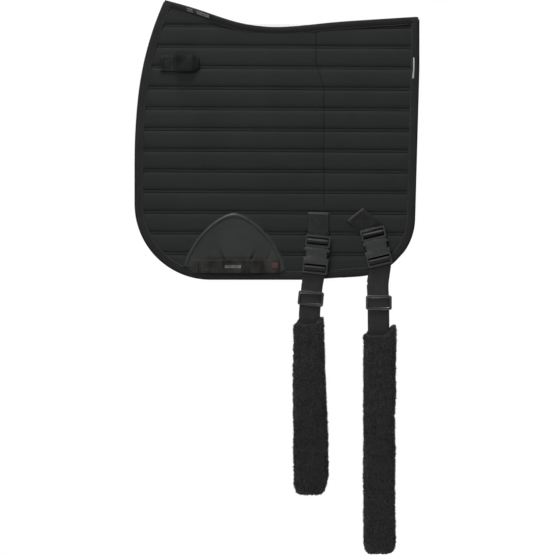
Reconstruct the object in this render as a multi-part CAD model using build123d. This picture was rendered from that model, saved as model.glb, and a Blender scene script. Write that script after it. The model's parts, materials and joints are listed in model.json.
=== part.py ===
from build123d import *
import math
import os

# Dressage saddle pad with two fleece-covered girth bands, hanging folded over its spine.
# Units are millimetres. +X runs to the rear, +Z is up, the near (left) side faces -Y.
# The origin is the underside of the spine, where the pad rests on the horse's back.

# ---- Driving dimensions: outline of the pad seen from the side ----
pad_length = 549        # foremost to rearmost point
flap_drop = 478         # origin down to the bottom edge at the front
hem_level = 0.61        # share of the length over which the bottom edge is level
rear_lift = 14          # how much higher the bottom edge ends at the rear
rear_lean = 11          # how far the rear edge leans in towards its bottom
rear_plumb = 70         # how far below the origin the rear edge starts to lean
withers_rise = 52       # front top corner above the lowest point of the spine
cantle_rise = 19.5      # rear top corner above the lowest point of the spine
withers_setback = 58    # front top corner behind the foremost point
front_corner_r = 146
rear_corner_r = 113
top_corner_r = 5
neck_low_r, neck_low_turn = 1140, 6.2   # front edge: gentle lower bend, degrees
neck_top_r, neck_top_turn = 620, 22.0   # front edge: tighter upper bend, degrees
neck_start_share = 0.523    # how far down the flap the front edge starts to bend

# ---- Driving dimensions: layers of the pad, counted out from the middle plane ----
channel_half = 7        # half the gap between the two linings
lining_t = 1
core_t = 7
shell_t = 1
binding_t = 1
binding_w = 16.5
fold_z = -27            # second quilting seam, where the flaps fold away from the yoke

# ---- Driving dimensions: girth patch, girth strap and keeper ----
patch_x, patch_half_w, patch_h, patch_t = -83, 98, 112, 1.2
patch_full = 1.55       # fullness of the arch's shoulders, where 2 is an ellipse
strap_left, strap_right = -162, 5
strap_w, strap_t = 26, 1.6
strap_bottom = 13       # strap's lower edge above the pad's bottom edge
strap_foot = 12         # sewn end of the strap
hook_pad_w, hook_pad_t = 26, 1
girth_room = 6.6        # clear height under the girth strap
keeper_left, keeper_w, keeper_h = -224, 75, 32
keeper_z = -61
keeper_foot = 25
keeper_room = 5.6
closure_gap = 0.3       # hook side to loop side of a closed strap

# ---- Driving dimensions: webbing, buckles, tri-glides and fleece bands ----
web_w, web_t = 40, 2.2
web_clear = 0.3         # webbing above the binding
flex_below = 8          # where the bands bend, below the pad's bottom edge
flex_gap = 0.9
open_gap = 2.6          # the same gap on the off side, where the loop is left open
buckle_w, buckle_h = 48, 74
buckle_stand = 4.7      # middle of the buckle out from the back of the webbing
frame_t, frame_h = 4, 22
bar_r = 1.6
bar_clear = 0.3
body_t = 8.6            # thickness of the female half
waist_w = 35            # female half between its two side windows
window_h = 12
prong_w, prong_x = 5, 13.3
prong_squeeze_gap = 0.3
glide_w, glide_h, glide_bar = 49, 28, 5
glide_clear = 0.3
fleece_w, fleece_t = 62, 22
fleece_stand = 2.7      # middle of the fleece out from the back of the webbing

# Each band: sewn end of its tab, buckle centre and tilt, bend point, tri-glide and fleece.
# Heights are counted from the pad's bottom edge at the front.
band_a = dict(
    name="a", tab_top=(80.7, 130), buckle=(76, 48.5), tilt=5.8,
    flex_x=67.9, glide=(65.2, -36), glide_tilt=5.5, fleece_x=63.5, fleece_top=-74, bottom=-415,
)
band_b = dict(
    name="b", tab_top=(150.9, 125), buckle=(191, 63.5), tilt=-13.2,
    flex_x=196.4, glide=(196.4, -44), glide_tilt=0, fleece_x=196.4, fleece_top=-100, bottom=-529,
)

# ---- Levels worked out from the layers ----
lining_y = channel_half
core_y = lining_y + lining_t
shell_y = core_y + core_t
face_y = shell_y + shell_t
binding_in = channel_half - binding_t
binding_out = face_y + binding_t
shell_drop = binding_t                  # top of the shell below the spine's top line
core_drop = shell_drop + shell_t
core_under = core_drop + core_t
lining_under = core_under + lining_t
spine_top = lining_under                # height of the spine's top line over the origin
front_x = -pad_length / 2
rear_x = pad_length / 2
patch_y = face_y + patch_t
web_in = binding_out + web_clear
buckle_plane = web_in + buckle_stand
fleece_plane = web_in + fleece_stand


def polygon(points):
    return make_face(Polyline(*points, close=True))


def ribbon(points, width):
    """Flat strip of constant width along a polyline, with mitred bends."""
    left = []
    right = []
    for i, (x, y) in enumerate(points):
        before = points[max(i - 1, 0)]
        after = points[min(i + 1, len(points) - 1)]
        a = math.atan2(y - before[1], x - before[0]) if i else None
        b = math.atan2(after[1] - y, after[0] - x) if i < len(points) - 1 else None
        a = b if a is None else a
        b = a if b is None else b
        reach = width / 2 / math.cos((b - a) / 2)
        turn = (a + b) / 2 + math.pi / 2
        left.append((x + reach * math.cos(turn), y + reach * math.sin(turn)))
        right.append((x - reach * math.cos(turn), y - reach * math.sin(turn)))
    return polygon(left + right[::-1])


def slab(face, inner, outer):
    """Solid of an XZ face between two distances from the middle plane, on the near side."""
    return extrude(Plane.XZ.offset(inner) * face, amount=outer - inner)


def both_sides(face, half):
    return extrude(Plane.XZ.offset(-half) * face, amount=2 * half)


def plan(face, bottom, top):
    """Solid of an XY face between two heights."""
    return extrude(Plane.XY.offset(bottom) * face, amount=top - bottom)


def off_side(solid):
    return mirror(solid, about=Plane.XZ)


os.makedirs("parts", exist_ok=True)


def save(name, shape):
    solids = shape.solids()
    result = solids[0] if len(solids) == 1 else Compound(children=list(solids))
    export_step(result, f"parts/{name}.step")


def save_pair(name, solid):
    save(f"near_{name}", solid)
    save(f"off_{name}", off_side(solid))


# ---- Outline faces in the XZ plane ----
sky = 140               # above every part of the pad
bottom_z = -flap_drop
rear_foot = (rear_x - rear_lean, bottom_z + rear_lift)
flex_z = bottom_z - flex_below


def side_outline():
    """Front edge, bottom edge and rear edge of a flap, open far above the spine."""
    start = (front_x, -flap_drop * neck_start_share)
    low = JernArc(start, (0, 1), neck_low_r, -neck_low_turn)
    top = JernArc(low @ 1, low % 1, neck_top_r, -neck_top_turn)
    shoulder = top @ 1
    corner = Polyline(
        start, (front_x, bottom_z), (front_x + pad_length * hem_level, bottom_z), rear_foot,
        (rear_x, -rear_plumb), (rear_x, sky), (shoulder.X, sky), shoulder,
    )
    face = make_face(Wire([low, top] + list(corner.edges())))
    at_front = face.vertices().sort_by_distance((front_x, bottom_z, 0))[0]
    face = fillet(at_front, front_corner_r)
    at_rear = face.vertices().sort_by_distance((*rear_foot, 0))[0]
    return fillet(at_rear, rear_corner_r)


def under_top(drop):
    """Everything below the spine's top line, lowered by drop."""
    dip_x = front_x + pad_length * 0.49
    shoulder_x = front_x + withers_setback
    top = spine_top - drop
    points = [(shoulder_x - 100, top + withers_rise * 1.5)]
    for share, rise in ((1, 1), (0.7, 0.655), (0.34, 0.18), (0, 0)):
        points.append((dip_x + (shoulder_x - dip_x) * share, top + withers_rise * rise))
    heel = rear_x - top_corner_r
    for share, rise in ((0.38, 0.41), (0.68, 0.72), (1, 1)):
        points.append((dip_x + (heel - dip_x) * share, top + cantle_rise * rise))
    line = Spline(*points)
    end_z = points[-1][1]
    soft = top_corner_r * (1 - math.sqrt(0.5))
    corner = ThreePointArc(points[-1], (rear_x - soft, end_z - soft), (rear_x, end_z - top_corner_r))
    rest = Polyline(
        corner @ 1, (rear_x + 40, end_z - top_corner_r), (rear_x + 40, -flap_drop - 40),
        (points[0][0], -flap_drop - 40), points[0],
    )
    return make_face(Wire([line, corner] + list(rest.edges())))


def half_plane(low, high):
    return Pos(0, (low + high) / 2) * Rectangle(pad_length * 2, high - low)


whole = side_outline()
inset = offset(whole, amount=-binding_t)
field = offset(whole, amount=-binding_w)
below = half_plane(-flap_drop * 2, fold_z)
above = half_plane(fold_z, sky * 2)
rim = whole - field

# ---- Flaps: lining, quilted core, shell and edge binding on each side ----
flap_face = inset & below
save_pair("flap_lining", slab(flap_face, lining_y, core_y))
save_pair("flap_core", slab(flap_face, core_y, shell_y))
save_pair("flap_shell", slab(flap_face, shell_y, face_y))
save_pair("flap_binding", slab(rim & below, binding_in, binding_out) - slab(flap_face, lining_y, face_y))

# ---- Yoke: the strip over the spine, bent into an upside-down U ----
yoke_face = inset & above
channel = both_sides(under_top(lining_under) & above, lining_y)
yoke_hollow = both_sides(under_top(core_under) & above, core_y)
save("yoke_lining", both_sides(yoke_face & under_top(core_under), core_y) - channel)
save("yoke_core", both_sides(yoke_face & under_top(core_drop), shell_y) - yoke_hollow)
yoke_bulk = both_sides(under_top(core_drop) & above, shell_y)
save("yoke_shell", both_sides(yoke_face & under_top(shell_drop), face_y) - yoke_bulk)
tape_face = (whole & above & under_top(0)) - under_top(binding_w)
tape = both_sides(tape_face, binding_out) - both_sides(yoke_face & under_top(shell_drop), face_y)
save("spine_tape", tape - channel)
yoke_rim = rim & above & under_top(binding_w)
save_pair("yoke_binding", slab(yoke_rim, binding_in, binding_out) - slab(yoke_face, lining_y, face_y))

# ---- Girth patch: arched wear patch sewn on above the bottom edge ----
patch_foot = bottom_z + binding_w
arch_points = []
for step in range(1, 24):
    turn = math.pi * step / 24
    side = 1 if math.cos(turn) > 0 else -1
    arch_points.append((
        patch_x + side * patch_half_w * abs(math.cos(turn)) ** (2 / patch_full),
        patch_foot + patch_h * math.sin(turn) ** (2 / patch_full),
    ))
right_foot, left_foot = (patch_x + patch_half_w, patch_foot), (patch_x - patch_half_w, patch_foot)
arch_curve = Spline(right_foot, *arch_points, left_foot)
arch_sill = Polyline(left_foot, (left_foot[0], patch_foot - 8), (right_foot[0], patch_foot - 8), right_foot)
arch = make_face(Wire([arch_curve] + list(arch_sill.edges())))
save_pair("girth_patch", slab(arch & field, face_y, patch_y))

# ---- Girth strap: hook-and-loop strap that holds the girth against the patch ----
strap_low = bottom_z + strap_bottom
strap_high = strap_low + strap_w
strap_fold = strap_left + strap_foot
foot = plan(polygon([
    (strap_left, -patch_y), (strap_fold - closure_gap, -patch_y),
    (strap_fold - closure_gap, -patch_y - strap_t), (strap_left, -patch_y - strap_t),
]), strap_low, strap_high)
hook_left = strap_right - hook_pad_w
hook_y = patch_y + hook_pad_t
hook_pad = plan(polygon([
    (hook_left, -patch_y), (strap_right, -patch_y), (strap_right, -hook_y), (hook_left, -hook_y),
]), strap_low, strap_high)
save_pair("girth_anchor", Compound(children=[foot, hook_pad]))
low_run = patch_y + strap_t / 2
high_run = patch_y + girth_room + strap_t / 2
end_run = hook_y + closure_gap + strap_t / 2
ramp = 22
save_pair("girth_strap", plan(ribbon([
    (strap_fold, -low_run), (strap_fold + 6, -low_run), (strap_fold + 6 + ramp, -high_run),
    (hook_left - ramp, -high_run), (hook_left, -end_run), (strap_right, -end_run),
], strap_t), strap_low, strap_high))

# ---- Keeper: small hook-and-loop flap that closes round a saddle's billet or ring ----
keeper_low = keeper_z - keeper_h / 2
keeper_high = keeper_z + keeper_h / 2
keeper_right = keeper_left + keeper_w
keeper_fold = keeper_left + keeper_foot
keeper_top = patch_y + strap_t
save_pair("keeper_base", plan(polygon([
    (keeper_left, -face_y), (keeper_right, -face_y), (keeper_right, -patch_y),
    (keeper_fold - closure_gap, -patch_y), (keeper_fold - closure_gap, -keeper_top),
    (keeper_left, -keeper_top),
]), keeper_low, keeper_high))
keeper_high_run = patch_y + keeper_room + strap_t / 2
keeper_end_run = patch_y + closure_gap + strap_t / 2
keeper_lip = 7
keeper_ramp = 8
save_pair("keeper_flap", plan(ribbon([
    (keeper_fold, -low_run), (keeper_fold + 2, -low_run), (keeper_fold + 2 + keeper_ramp, -keeper_high_run),
    (keeper_right - keeper_lip - keeper_ramp, -keeper_high_run),
    (keeper_right - keeper_lip, -keeper_end_run), (keeper_right, -keeper_end_run),
], strap_t), keeper_low, keeper_high))

# ---- Buckle parts, drawn in their own frame: x across, y along, extruded outwards ----
frame_in = buckle_plane - frame_t / 2
frame_out = buckle_plane + frame_t / 2
body_in = buckle_plane - body_t / 2
body_out = buckle_plane + body_t / 2
slot_w = web_w + 1.6
rail = 3.6
bar_y = buckle_h / 2 - frame_h / 2      # centre of the bar that the webbing turns round
cavity_w = waist_w - 2
cavity_t = frame_t + 1
socket_y = buckle_h / 2 - frame_h - 2   # mouth of the female half
base_y = socket_y + 0.4                 # underside of the male half's crossbar


def at_place(solid, centre, tilt):
    """Put a piece drawn round the origin at its place on the flap, turned in the XZ plane."""
    return Pos(centre[0], 0, centre[1]) * Rot(0, tilt, 0) * solid


def ladder(low, high):
    """Frame with two slots and a round bar between them, for webbing."""
    middle = (low + high) / 2
    outer = Pos(0, middle) * RectangleRounded(buckle_w, high - low, 3)
    window = Pos(0, middle) * RectangleRounded(slot_w, high - low - 2 * rail, 1.5)
    ring = slab(outer - window, frame_in, frame_out)
    bar = Pos(0, -buckle_plane, middle) * Rot(0, 90, 0) * Cylinder(bar_r, slot_w + 1)
    return ring + bar


male_frame = ladder(buckle_h / 2 - frame_h, buckle_h / 2)
tongue = Pos(0, (base_y - 8) / 2) * Rectangle(9, base_y + 8)
crossbar = Pos(0, (base_y + 16) / 2) * Rectangle(buckle_w - 6, 16 - base_y)
male = male_frame + slab(tongue + crossbar, frame_in + 0.4, frame_out - 0.4)

female_low = -buckle_h / 2
body_low = female_low + frame_h - 3
body_face = Pos(0, (socket_y + body_low) / 2) * RectangleRounded(buckle_w, socket_y - body_low, 4)
window_x = waist_w / 2 + buckle_w / 4
for side in (-1, 1):
    body_face -= Pos(side * window_x, 0) * RectangleRounded(buckle_w / 2, window_h, 4)
body = slab(body_face, body_in, body_out)
cavity_low = body_low + 3
cavity = Pos(0, (sky + cavity_low) / 2) * Rectangle(cavity_w, sky - cavity_low)
body -= slab(cavity, buckle_plane - cavity_t / 2, buckle_plane + cavity_t / 2)
side_port = Rectangle(buckle_w + 10, window_h)
body -= slab(side_port, buckle_plane - cavity_t / 2, buckle_plane + cavity_t / 2)
female = ladder(female_low, female_low + frame_h) + body

prong_top = base_y - prong_squeeze_gap
prong_low = -10
arm = Pos(prong_x, (prong_top + prong_low) / 2) * Rectangle(prong_w, prong_top - prong_low)
pad_out = buckle_w / 2 - 3.2
pad_in = prong_x
pad = Pos((pad_in + pad_out) / 2, 0) * RectangleRounded(pad_out - pad_in, window_h - 2, 2)
prong = slab(arm + pad, frame_in + 0.3, frame_out - 0.3)


def web_loop():
    """Webbing turned round a buckle's bar, drawn at the middle of the buckle's frame."""
    ring = Circle(bar_r + bar_clear + web_t) - Circle(bar_r + bar_clear)
    return extrude(Plane.YZ.offset(-web_w / 2) * Pos(-buckle_plane, 0) * ring, amount=web_w)


# ---- Bands: tab, buckle, webbing, tri-glide and fleece sleeve, on both sides ----
for band in (band_a, band_b):
    letter = band["name"]
    tab_top, centre, glide = (
        (band[key][0], bottom_z + band[key][1]) for key in ("tab_top", "buckle", "glide")
    )
    fleece_top, band_bottom = bottom_z + band["fleece_top"], bottom_z + band["bottom"]
    tilt = band["tilt"]
    turn = math.radians(tilt)

    def on_buckle(x, y):
        return (
            centre[0] + x * math.cos(turn) + y * math.sin(turn),
            centre[1] - x * math.sin(turn) + y * math.cos(turn),
        )

    save_pair(f"male_{letter}", at_place(male, centre, tilt))
    save_pair(f"female_{letter}", at_place(female, centre, tilt))
    save_pair(f"prong_front_{letter}", at_place(mirror(prong, about=Plane.YZ), centre, tilt))
    save_pair(f"prong_rear_{letter}", at_place(prong, centre, tilt))

    bar = on_buckle(0, bar_y)
    flat = slab(ribbon([bar, tab_top], web_w), face_y, face_y + web_t)
    save_pair(f"web_tab_{letter}", flat + at_place(web_loop(), bar, tilt))

    low_bar = on_buckle(0, -bar_y)
    flex_x = band["flex_x"]
    below_flex = (2 * flex_x - low_bar[0], 2 * flex_z - low_bar[1])
    strip = ribbon([low_bar, below_flex], web_w)
    loop = at_place(web_loop(), low_bar, tilt)
    for side, gap in (("near", flex_gap), ("off", open_gap)):
        kept = strip & half_plane(flex_z + gap / 2, 0)
        upper = slab(kept, web_in, web_in + web_t) + loop
        save(f"{side}_web_upper_{letter}", upper if side == "near" else off_side(upper))

    lean = math.tan(math.radians(band["glide_tilt"]))
    above_flex = (glide[0] + lean * glide_h * 2, glide[1] + glide_h * 2)
    knee = (glide[0] - lean * glide_h, glide[1] - glide_h)
    under_fleece = (band["fleece_x"], 2 * fleece_top - knee[1])
    strip = ribbon([above_flex, knee, under_fleece], web_w)
    kept = strip & half_plane(fleece_top, flex_z - flex_gap / 2)
    save_pair(f"web_lower_{letter}", slab(kept, web_in, web_in + web_t))

    rails = RectangleRounded(glide_w, glide_h, 4)
    opening = Rectangle(web_w + 1, glide_h - 2 * glide_bar)
    web_slot = Rectangle(web_w + 1, glide_h + 2)
    front_out = web_in + web_t + glide_clear + 2.4
    back_in = web_in - glide_clear - 2.4
    tri_glide = slab(rails - opening, back_in, front_out)
    tri_glide += slab(Rectangle(web_w + 2, glide_bar), back_in, web_in - glide_clear)
    tri_glide -= slab(web_slot, web_in - glide_clear, web_in + web_t + glide_clear)
    bars_behind = web_slot - Rectangle(web_w + 4, glide_bar)
    tri_glide -= slab(bars_behind, back_in - 1, web_in)
    save_pair(f"tri_glide_{letter}", at_place(tri_glide, glide, band["glide_tilt"]))

    fold_r = fleece_plane + fleece_t / 2
    fold_centre = band_bottom + fold_r
    section = Pos(band["fleece_x"], -fleece_plane) * RectangleRounded(fleece_w, fleece_t, 8)
    leg = plan(section, fold_centre, fleece_top)
    turn_axis = Axis((0, 0, fold_centre), (1, 0, 0))
    bend = revolve(Plane.XY.offset(fold_centre) * section, axis=turn_axis, revolution_arc=90)
    save_pair(f"fleece_{letter}", leg + bend)
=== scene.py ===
import json
import math

import bmesh
import bpy
import numpy as np
from mathutils import Matrix, Vector


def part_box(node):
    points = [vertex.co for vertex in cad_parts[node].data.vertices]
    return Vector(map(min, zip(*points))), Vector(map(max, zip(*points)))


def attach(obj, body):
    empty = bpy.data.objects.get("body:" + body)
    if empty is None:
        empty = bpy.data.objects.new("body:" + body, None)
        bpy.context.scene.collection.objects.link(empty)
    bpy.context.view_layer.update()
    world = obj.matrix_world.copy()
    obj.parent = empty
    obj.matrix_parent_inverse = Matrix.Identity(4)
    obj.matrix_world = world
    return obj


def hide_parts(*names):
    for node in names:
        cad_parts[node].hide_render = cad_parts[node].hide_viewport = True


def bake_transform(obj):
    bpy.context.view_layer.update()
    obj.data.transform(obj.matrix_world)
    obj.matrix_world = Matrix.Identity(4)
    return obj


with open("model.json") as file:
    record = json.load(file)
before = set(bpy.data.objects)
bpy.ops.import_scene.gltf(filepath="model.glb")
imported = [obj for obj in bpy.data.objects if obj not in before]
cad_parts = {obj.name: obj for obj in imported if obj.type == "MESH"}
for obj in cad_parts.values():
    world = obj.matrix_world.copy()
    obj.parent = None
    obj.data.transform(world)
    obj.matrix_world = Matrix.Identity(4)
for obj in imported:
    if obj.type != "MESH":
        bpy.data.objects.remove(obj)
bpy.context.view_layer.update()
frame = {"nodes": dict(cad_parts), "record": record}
body_of_node = {n: b for b, names in frame["record"]["behaviour"]["bodies"].items() for n in names}

# ---- Studio: white surroundings, a pale floor and soft lamps ----
# The pad hangs from its spine channel just above the floor, which fades into the
# white around it. Soft lamps stand round it, and the last one shows only as a gleam.
view_width = 1.071
view_height = -0.4735
camera_away = 7.0
floor_z = -1.045

scene = bpy.context.scene
scene.view_settings.view_transform = "Standard"
camera_data = bpy.data.cameras.new("studio_camera")
camera_data.sensor_width = 36
camera_data.lens = 36 * camera_away / view_width
camera_data.clip_end = 100
camera = bpy.data.objects.new("studio_camera", camera_data)
camera.location = (0.001, -camera_away, view_height)
camera.rotation_euler = (math.radians(90), 0, 0)
scene.collection.objects.link(camera)
scene.camera = camera


class Value:
    """A shader socket that takes part in Python sums."""

    def __init__(self, tree, socket):
        self.tree = tree
        self.socket = socket

    def math(self, operation, *values):
        node = self.tree.nodes.new("ShaderNodeMath")
        node.operation = operation
        for slot, value in zip(node.inputs, (self, *values)):
            connect(self.tree, slot, value)
        return Value(self.tree, node.outputs[0])

    def __add__(self, other):
        return self.math("ADD", other)

    __radd__ = __add__

    def __mul__(self, other):
        return self.math("MULTIPLY", other)

    __rmul__ = __mul__

    def __sub__(self, other):
        return self.math("SUBTRACT", other)

    def __rsub__(self, other):
        return (self * -1) + other

    def __truediv__(self, other):
        return self.math("DIVIDE", other)

    def wave(self, pitch):
        """A ridge that repeats every pitch metres, from 0 to 1."""
        return (self * (2 * math.pi / pitch)).math("SINE") * 0.5 + 0.5


def connect(tree, slot, value):
    if isinstance(value, Value):
        tree.links.new(value.socket, slot)
    else:
        slot.default_value = value


class Finish:
    """One material: a Principled shader and the nodes that feed it."""

    def __init__(self, name, **fixed):
        self.material = bpy.data.materials.new(name)
        self.material.use_nodes = True
        self.tree = self.material.node_tree
        self.shader = self.tree.nodes["Principled BSDF"]
        for key, value in fixed.items():
            self.shader.inputs[key.replace("_", " ").title().replace("Ior", "IOR")].default_value = value

    def node(self, kind, settings=None, inputs=None, output=0):
        node = self.tree.nodes.new(kind)
        for key, value in (settings or {}).items():
            setattr(node, key, value)
        for key, value in (inputs or {}).items():
            connect(self.tree, node.inputs[key], value)
        return Value(self.tree, node.outputs[output])

    def place(self, source="Object"):
        """Coordinates in metres: the row frame, or a piece's own across-and-along map."""
        return self.node("ShaderNodeTexCoord", output=source)

    def split(self, vector):
        node = self.tree.nodes.new("ShaderNodeSeparateXYZ")
        connect(self.tree, node.inputs[0], vector)
        return [Value(self.tree, out) for out in node.outputs]

    def noise(self, scale, detail=3, vector=None, rough=0.55):
        return self.node("ShaderNodeTexNoise", inputs={
            "Vector": vector or self.place(), "Scale": scale, "Detail": detail, "Roughness": rough,
        })

    def colour(self, factor, low, high):
        """Base colour that runs from low to high with a factor."""
        mix = self.tree.nodes.new("ShaderNodeMix")
        mix.data_type = "RGBA"
        connect(self.tree, mix.inputs["Factor"], factor)
        mix.inputs["A"].default_value = (*low, 1)
        mix.inputs["B"].default_value = (*high, 1)
        self.tree.links.new(mix.outputs["Result"], self.shader.inputs["Base Color"])

    def feed(self, name, value):
        connect(self.tree, self.shader.inputs[name], value)

    def bump(self, height, strength, distance):
        value = self.node("ShaderNodeBump", inputs={
            "Height": height, "Strength": strength, "Distance": distance,
        })
        self.feed("Normal", value)


world = bpy.data.worlds.new("white_surroundings")
world.use_nodes = True
sky = world.node_tree
sky_low = sky.nodes["Background"]
sky_low.inputs["Color"].default_value = (1, 1, 1, 1)
sky_low.inputs["Strength"].default_value = 0.23
sky_seen = sky.nodes.new("ShaderNodeBackground")
sky_seen.inputs["Color"].default_value = (1, 1, 1, 1)
sky_ray = sky.nodes.new("ShaderNodeLightPath")
sky_mix = sky.nodes.new("ShaderNodeMixShader")
sky.links.new(sky_ray.outputs["Is Camera Ray"], sky_mix.inputs[0])
sky.links.new(sky_low.outputs[0], sky_mix.inputs[1])
sky.links.new(sky_seen.outputs[0], sky_mix.inputs[2])
sky.links.new(sky_mix.outputs[0], sky.nodes["World Output"].inputs["Surface"])
scene.world = world


def panel(name, location, size, power):
    """A soft square lamp that faces the middle of the pad."""
    data = bpy.data.lights.new(name, "AREA")
    data.shape = "SQUARE"
    data.size = size
    data.energy = power
    lamp = bpy.data.objects.new(name, data)
    lamp.location = location
    aim = Vector((0, 0, view_height)) - Vector(location)
    lamp.rotation_euler = aim.to_track_quat("-Z", "Y").to_euler()
    scene.collection.objects.link(lamp)
    return lamp


panel("panel_front", (-1.5, -2.8, 1.5), 0.8, 74)
panel("panel_rear", (1.9, 2.6, 1.2), 1.4, 90)
panel("panel_top", (-0.25, -0.7, 2.4), 0.7, 62)
panel("panel_low", (0.45, -1.7, -2.1), 0.35, 22)
edge_light = panel("panel_edge", (-0.7, -0.9, 2.5), 0.9, 850)
edge_light.visible_diffuse = False

floor_finish = Finish("pale_floor", roughness=0.9, base_color=(0.93, 0.93, 0.93, 1))
floor_x, floor_y, floor_up = floor_finish.split(floor_finish.place())
floor_far = ((floor_x * floor_x + floor_y * floor_y).math("SQRT") - 0.25) / 0.4
floor_fade = floor_finish.node("ShaderNodeMath", {"operation": "SMOOTH_MIN"}, {0: floor_far, 1: 1.0, 2: 0.2})
floor_clear = floor_finish.node("ShaderNodeBsdfTransparent")
floor_mix = floor_finish.node("ShaderNodeMixShader")
floor_node = floor_mix.socket.node
floor_fade.socket.node.use_clamp = True
floor_finish.tree.links.new(floor_fade.socket, floor_node.inputs[0])
floor_finish.tree.links.new(floor_finish.shader.outputs[0], floor_node.inputs[1])
floor_finish.tree.links.new(floor_clear.socket, floor_node.inputs[2])
floor_finish.tree.links.new(
    floor_mix.socket, floor_finish.tree.nodes["Material Output"].inputs["Surface"]
)
floor_mesh = bpy.data.meshes.new("floor")
floor_corners = [(-3, -3), (3, -3), (3, 3), (-3, 3)]
floor_mesh.from_pydata([(x, y, floor_z) for x, y in floor_corners], [], [(0, 1, 2, 3)])
floor_mesh.materials.append(floor_finish.material)
floor = bpy.data.objects.new("floor", floor_mesh)
scene.collection.objects.link(floor)

# ---- Quilted pad: one stitched sandwich on each side, from the spine to the hem ----
# Cotton twill outside, wadding and a knitted lining inside, sewn through in
# level double rows that leave soft channels between them.
seam_pitch = 0.03986
seam_top = 0.0102       # highest seam, over the spine's dip
seam_pair = 0.0058      # between the two rows of one seam
seam_fall = 0.0055      # seams run down a little to the rear
crown_y = 0.0167
stitch_y = 0.0143
lining_crown_y = 0.0066
edge_outer_y = 0.0152   # where the pad is pressed flat under its binding
edge_inner_y = 0.0082
under_binding = 0.004
crease_top_x = 0.0757   # the long upright crease, where it leaves the spine
crease_shift = 0.0146   # how far it steps to the rear
crease_from = 0.06      # depth where the step begins
crease_over = 0.05      # and the depth it takes


def crossings(nodes, axis, at, other):
    """Extent of CAD nodes along one axis where they cross a value on another."""
    low, high = [], []
    edges = []
    for name in nodes:
        mesh = frame["nodes"][name].data
        co = np.array([v.co for v in mesh.vertices], float)
        pairs = np.array([e.vertices for e in mesh.edges])
        edges.append(co[pairs])
    edges = np.concatenate(edges)
    a, b = edges[:, 0], edges[:, 1]
    for value in np.atleast_1d(at):
        span = b[:, axis] - a[:, axis]
        crossed = ((a[:, axis] - value) * (b[:, axis] - value) <= 0) & (abs(span) > 1e-9)
        share = (value - a[crossed, axis]) / span[crossed]
        found = a[crossed, other] + share * (b[crossed, other] - a[crossed, other])
        low.append(found.min() if len(found) else np.nan)
        high.append(found.max() if len(found) else np.nan)
    return np.array(low), np.array(high)


side_nodes = ["near_flap_binding", "near_yoke_binding", "spine_tape"]
front_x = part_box("near_flap_binding")[0].x
rear_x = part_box("near_flap_binding")[1].x
hem_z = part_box("near_flap_binding")[0].z
top_x = np.linspace(-0.2160, 0.2740, 160)
top_z = crossings(["spine_tape"], 0, top_x, 2)[1]


def spine_line(x):
    return np.interp(x, top_x, top_z)


def hull_points():
    """The pad's edge from the front top corner, round the hem, to the rear top corner."""
    down = np.concatenate([np.linspace(0.0575, -0.10, 24), np.linspace(-0.11, -0.425, 50)])
    front = np.stack([crossings(side_nodes, 2, down, 0)[0], down], 1)
    x0, x1 = front[-1, 0] + 0.004, 0.226
    along = x0 + (x1 - x0) * np.linspace(0, 1, 90)
    hem = np.stack([along, crossings(side_nodes[:1], 0, along, 2)[0]], 1)
    up = np.concatenate([np.linspace(-0.424, -0.11, 50), np.linspace(-0.10, 0.0235, 24)])
    rear = np.stack([crossings(side_nodes, 2, up, 0)[1], up], 1)
    points = np.concatenate([front, hem, rear])
    steps = np.r_[0, np.cumsum(np.linalg.norm(np.diff(points, axis=0), axis=1))]
    even = np.linspace(0, steps[-1], 520)
    points = np.stack([np.interp(even, steps, points[:, k]) for k in (0, 1)], 1)
    for _ in range(3):
        points[1:-1] = (points[:-2] + 2 * points[1:-1] + points[2:]) / 4
    return points


edge_line = hull_points()


def smooth_noise(seed, size, cell):
    """Even random bumps on a grid of rows and columns, between about -1 and 1."""
    rng = np.random.default_rng(seed)
    rows, cols = size
    coarse = rng.normal(0, 0.5, (max(2, int(rows / cell[0])) + 3, max(2, int(cols / cell[1])) + 3))
    y = np.linspace(0, coarse.shape[0] - 3.001, rows)
    x = np.linspace(0, coarse.shape[1] - 3.001, cols)
    yi, xi = y.astype(int), x.astype(int)
    yf, xf = y - yi, x - xi

    def weights(f):
        nearer, farther = 3 * f ** 3 - 6 * f ** 2 + 4, -3 * f ** 3 + 3 * f ** 2 + 3 * f + 1
        return np.stack([(1 - f) ** 3, nearer, farther, f ** 3]) / 6

    wy, wx = weights(yf), weights(xf)
    result = np.zeros(size)
    for i in range(4):
        for j in range(4):
            row = np.minimum(yi[:, None] + i, coarse.shape[0] - 1)
            col = np.minimum(xi[None, :] + j, coarse.shape[1] - 1)
            result += wy[i][:, None] * wx[j][None, :] * coarse[row, col]
    return result


def grid_faces(rows, cols, start=0, wrap=False):
    faces = []
    last = cols if wrap else cols - 1
    for r in range(rows - 1):
        for c in range(last):
            d = (c + 1) % cols
            faces.append((start + r * cols + c, start + r * cols + d,
                          start + (r + 1) * cols + d, start + (r + 1) * cols + c))
    return faces


def piece(name, points, faces, finish, uv=None):
    """A finished mesh object at the origin. uv gives across and along in metres per vertex."""
    mesh = bpy.data.meshes.new(name)
    mesh.from_pydata([tuple(p) for p in points], [], faces)
    if uv is not None:
        layer = mesh.uv_layers.new(name="cloth")
        loops = np.zeros(len(mesh.loops), int)
        mesh.loops.foreach_get("vertex_index", loops)
        layer.data.foreach_set("uv", np.asarray(uv, float)[loops].ravel())
    work = bmesh.new()
    work.from_mesh(mesh)
    bmesh.ops.recalc_face_normals(work, faces=work.faces)
    work.to_mesh(mesh)
    work.free()
    mesh.materials.append(finish.material)
    mesh.shade_smooth()
    thing = bpy.data.objects.new(name, mesh)
    scene.collection.objects.link(thing)
    return thing


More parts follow.
